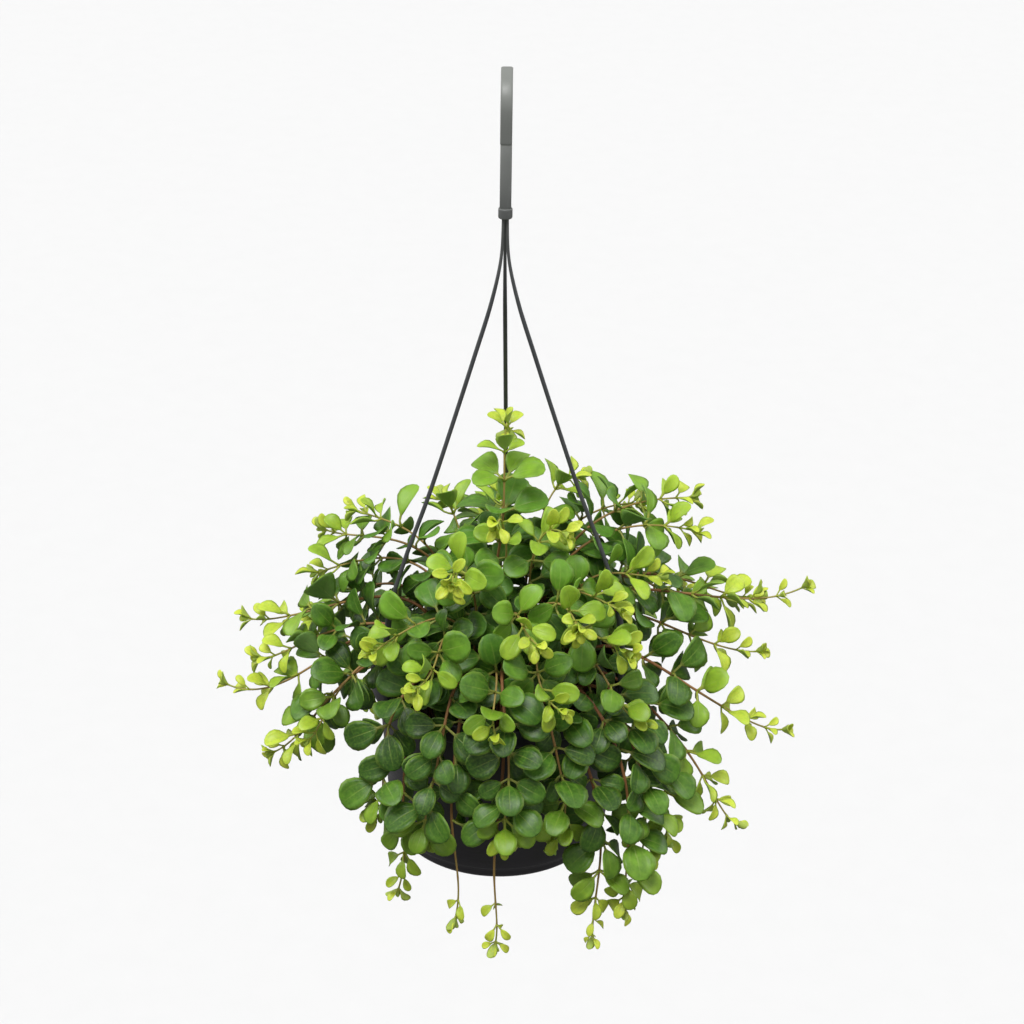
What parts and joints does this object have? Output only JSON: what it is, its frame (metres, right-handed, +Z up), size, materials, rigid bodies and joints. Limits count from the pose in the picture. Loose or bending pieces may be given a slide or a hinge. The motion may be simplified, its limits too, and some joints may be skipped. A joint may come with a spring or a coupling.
{
  "type": "potted trailing peperomia",
  "caption": "Trailing round-leaved green plant in a dark plastic hanging pot, on slim strands that meet under a flat hook.",
  "frame": {"origin": "the inner top of the hook, where the part hangs on its rail or ceiling hook, over the middle of the pot", "axes": "+Z up along the line the pot hangs on, -Y towards the front of the pot, +X to the right of someone who faces its front"},
  "size_m": [0.3528, 0.2556, 0.5103],
  "materials": {
    "pot_plastic": "injection moulded polypropylene, charcoal, satin",
    "hanger_plastic": "injection moulded polypropylene, dark grey, satin",
    "potting_soil": "moist peat, crumbly",
    "leaf": "fleshy green leaf, satin gloss, paler at the young tips"
  },
  "bodies": {
    "root": {"pot": "pot_plastic", "soil": "potting_soil", "hook": "hanger_plastic", "strand_back": "hanger_plastic", "strand_left": "hanger_plastic", "strand_right": "hanger_plastic", "leafy_stem_01": "leaf", "leafy_stem_02": "leaf", "leafy_stem_03": "leaf", "leafy_stem_04": "leaf", "leafy_stem_05": "leaf", "leafy_stem_06": "leaf", "leafy_stem_07": "leaf", "leafy_stem_08": "leaf", "leafy_stem_09": "leaf", "leafy_stem_10": "leaf", "leafy_stem_11": "leaf", "leafy_stem_12": "leaf", "leafy_stem_13": "leaf", "leafy_stem_14": "leaf", "leafy_stem_15": "leaf", "leafy_stem_16": "leaf", "leafy_stem_17": "leaf", "leafy_stem_18": "leaf", "leafy_stem_19": "leaf", "leafy_stem_20": "leaf", "leafy_stem_21": "leaf", "leafy_stem_22": "leaf", "leafy_stem_23": "leaf", "leafy_stem_24": "leaf", "leafy_stem_25": "leaf", "leafy_stem_26": "leaf", "leafy_stem_27": "leaf", "leafy_stem_28": "leaf", "leafy_stem_29": "leaf", "leafy_stem_30": "leaf", "leafy_stem_31": "leaf", "leafy_stem_32": "leaf", "leafy_stem_33": "leaf", "leafy_stem_34": "leaf", "leafy_stem_35": "leaf", "leafy_stem_36": "leaf", "leafy_stem_37": "leaf", "leafy_stem_38": "leaf", "leafy_stem_39": "leaf", "leafy_stem_40": "leaf", "leafy_stem_41": "leaf", "leafy_stem_42": "leaf", "leafy_stem_43": "leaf", "leafy_stem_44": "leaf", "leafy_stem_45": "leaf", "leafy_stem_46": "leaf", "leafy_stem_47": "leaf", "leafy_stem_48": "leaf", "leafy_stem_49": "leaf", "leafy_stem_50": "leaf", "leafy_stem_51": "leaf", "leafy_stem_52": "leaf", "leafy_stem_53": "leaf"}
  },
  "joints": []
}
